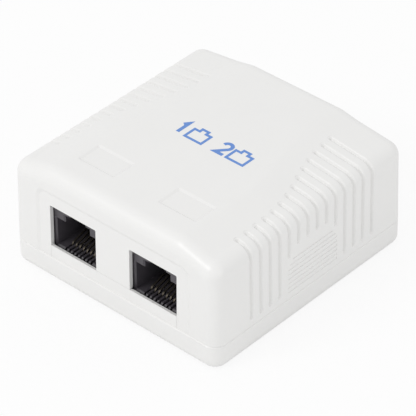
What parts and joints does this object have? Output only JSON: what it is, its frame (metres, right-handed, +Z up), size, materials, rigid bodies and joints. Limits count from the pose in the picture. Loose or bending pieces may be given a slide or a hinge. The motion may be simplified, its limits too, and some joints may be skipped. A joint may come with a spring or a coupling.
{
  "type": "surface mount jack box",
  "caption": "Small white surface mount box with RJ45 sockets side by side in front, grooved shoulders, ribbed side knock-outs and a lift-off cover over a board with jacks and wire terminals.",
  "frame": {"origin": "centre of the footprint, on the plane the box stands on", "axes": "+Z up out of the mounting surface, -Y out of the sockets, +X to the right when facing the sockets"},
  "size_m": [0.056, 0.0578, 0.027],
  "materials": {
    "cover_plastic": "fine satin",
    "base_plastic": "fine satin",
    "jack_plastic": "semi-gloss",
    "comb_plastic": "semi-gloss",
    "contact_gold": "gold plated",
    "clip_metal": "tinned",
    "idc_plastic": "satin",
    "board_laminate": "solder mask",
    "screw_steel": "zinc plated",
    "pad_foam": "foam"
  },
  "bodies": {
    "root": {"base": "base_plastic", "circuit_board": "board_laminate", "board_screws": "screw_steel", "adhesive_pad_front": "pad_foam", "adhesive_pad_rear": "pad_foam", "jack_housing_left": "jack_plastic", "jack_housing_right": "jack_plastic", "contact_comb_left": "comb_plastic", "contact_comb_right": "comb_plastic", "jack_contacts_left": "contact_gold", "jack_contacts_right": "contact_gold", "idc_block_front_left": "idc_plastic", "idc_block_front_right": "idc_plastic", "idc_block_rear_left": "idc_plastic", "idc_block_rear_right": "idc_plastic", "idc_contacts_front_left": "clip_metal", "idc_contacts_front_right": "clip_metal", "idc_contacts_rear_left": "clip_metal", "idc_contacts_rear_right": "clip_metal"},
    "cover": {"cover": "cover_plastic"}
  },
  "joints": [
    {"name": "cover_lift", "type": "slide", "parent": "root", "child": "cover", "axis": [0, 0, 1], "range_m": [0, 0.03]}
  ]
}
